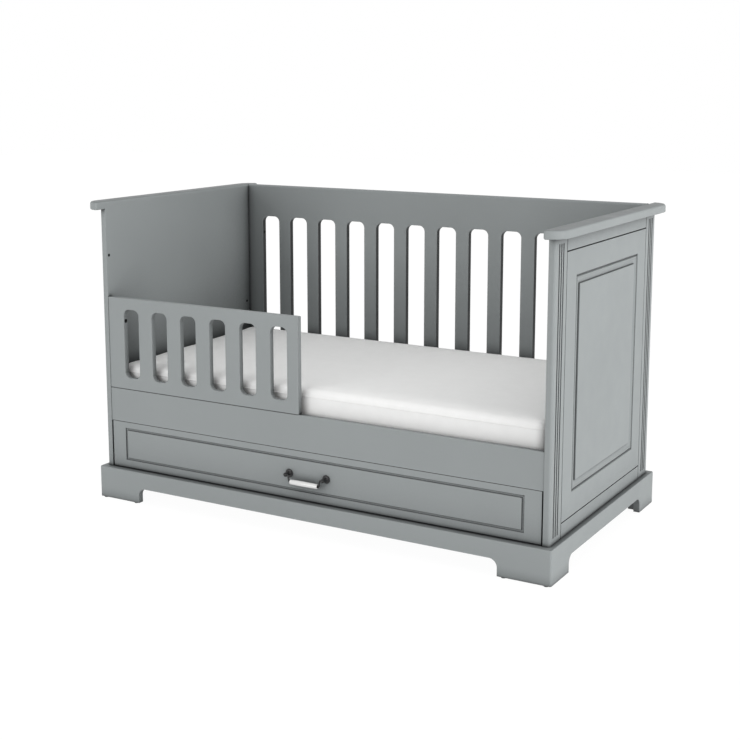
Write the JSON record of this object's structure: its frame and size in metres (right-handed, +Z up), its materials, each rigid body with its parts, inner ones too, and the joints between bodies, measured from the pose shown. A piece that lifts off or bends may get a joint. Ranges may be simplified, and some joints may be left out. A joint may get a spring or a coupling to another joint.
{
  "type": "toddler bed",
  "caption": "Toddler bed with panelled ends, a slatted back barrier, a half-length guard rail, a mattress on slats and a full-width drawer in a plinth base.",
  "frame": {"origin": "centre of the plan at floor level", "axes": "+X along the bed to the foot end, -Y out of the open front with the drawer, +Z up"},
  "size_m": [1.512, 0.8254, 0.906],
  "materials": {
    "lacquered_board": "grey satin lacquer on board",
    "inner_board": "grey lacquer",
    "slat_wood": "sanded pine",
    "drawer_board": "grey foil on board",
    "drawer_sheet": "grey hardboard",
    "zinc_steel": "zinc plated",
    "white_steel": "white powder coat",
    "nylon": "moulded",
    "glide_plastic": "moulded",
    "dowel_wood": "fluted beech",
    "black_metal": "matt black",
    "porcelain": "white glaze",
    "mattress_fabric": "white knitted cover"
  },
  "bodies": {
    "bed_frame": {"back_barrier": "lacquered_board", "back_lower_panel": "lacquered_board", "barrier_bolts": "zinc_steel", "base_back_rail": "slat_wood", "base_bolts": "zinc_steel", "base_end_rails": "slat_wood", "base_front_rail": "slat_wood", "base_slats": "slat_wood", "cabinet_roller_pins": "zinc_steel", "cam_fittings": "zinc_steel", "dowels": "dowel_wood", "floor_glides": "glide_plastic", "foot_back_pilaster": "lacquered_board", "foot_bottom_frieze": "lacquered_board", "foot_cap": "lacquered_board", "foot_end_board": "lacquered_board", "foot_front_pilaster": "lacquered_board", "foot_raised_panel": "lacquered_board", "foot_top_frieze": "lacquered_board", "frame_screws": "zinc_steel", "front_panel": "lacquered_board", "guard_rail": "lacquered_board", "guard_rail_plates": "zinc_steel", "head_back_pilaster": "lacquered_board", "head_bottom_frieze": "lacquered_board", "head_cap": "lacquered_board", "head_end_board": "lacquered_board", "head_front_pilaster": "lacquered_board", "head_raised_panel": "lacquered_board", "head_top_frieze": "lacquered_board", "left_cabinet_runner": "white_steel", "plinth_back": "lacquered_board", "plinth_cleats": "inner_board", "plinth_corner_blocks": "inner_board", "plinth_foot_side": "lacquered_board", "plinth_front": "lacquered_board", "plinth_head_side": "lacquered_board", "plinth_stretchers": "inner_board", "right_cabinet_runner": "white_steel", "threaded_inserts": "zinc_steel"},
    "drawer": {"drawer_front": "lacquered_board", "drawer_left_side": "drawer_board", "drawer_right_side": "drawer_board", "drawer_back": "drawer_board", "drawer_bottom": "drawer_sheet", "drawer_support": "drawer_board", "drawer_fasteners": "zinc_steel", "left_drawer_runner": "white_steel", "right_drawer_runner": "white_steel", "drawer_roller_pins": "zinc_steel", "handle_posts": "black_metal", "handle_screws": "zinc_steel"},
    "mattress": {"mattress": "mattress_fabric"},
    "handle_bail": {"handle_bail": "black_metal", "handle_grip": "porcelain", "handle_ferrules": "black_metal"},
    "left_front_roller": {"left_front_roller": "nylon"},
    "right_front_roller": {"right_front_roller": "nylon"},
    "left_rear_roller": {"left_rear_roller": "nylon"},
    "right_rear_roller": {"right_rear_roller": "nylon"}
  },
  "joints": [
    {"name": "drawer_slide", "type": "slide", "parent": "bed_frame", "child": "drawer", "axis": [0, -1, 0], "range_m": [0, 0.45]},
    {"name": "handle_swing", "type": "hinge", "parent": "drawer", "child": "handle_bail", "pos_m": [0, -0.393, 0.1725], "axis": [-1, 0, 0], "range_deg": [-40, 90]},
    {"name": "mattress_lift", "type": "slide", "parent": "bed_frame", "child": "mattress", "axis": [0, 0, 1], "range_m": [0, 0.62]},
    {"name": "left_front_roller_spin", "type": "hinge", "parent": "bed_frame", "child": "left_front_roller", "pos_m": [-0.6985, -0.337, 0.1216], "axis": [1, 0, 0], "range_deg": [0, 2580]},
    {"name": "left_rear_roller_spin", "type": "hinge", "parent": "drawer", "child": "left_rear_roller", "pos_m": [-0.6985, 0.235, 0.1199], "axis": [1, 0, 0], "range_deg": [0, 2580]},
    {"name": "right_front_roller_spin", "type": "hinge", "parent": "bed_frame", "child": "right_front_roller", "pos_m": [0.6985, -0.337, 0.1216], "axis": [1, 0, 0], "range_deg": [0, 2580]},
    {"name": "right_rear_roller_spin", "type": "hinge", "parent": "drawer", "child": "right_rear_roller", "pos_m": [0.6985, 0.235, 0.1199], "axis": [1, 0, 0], "range_deg": [0, 2580]}
  ],
  "couplings": [
    {"joint": "left_front_roller_spin", "follows": "drawer_slide", "rad_per_m": 100},
    {"joint": "left_rear_roller_spin", "follows": "drawer_slide", "rad_per_m": 100},
    {"joint": "right_front_roller_spin", "follows": "drawer_slide", "rad_per_m": 100},
    {"joint": "right_rear_roller_spin", "follows": "drawer_slide", "rad_per_m": 100}
  ]
}
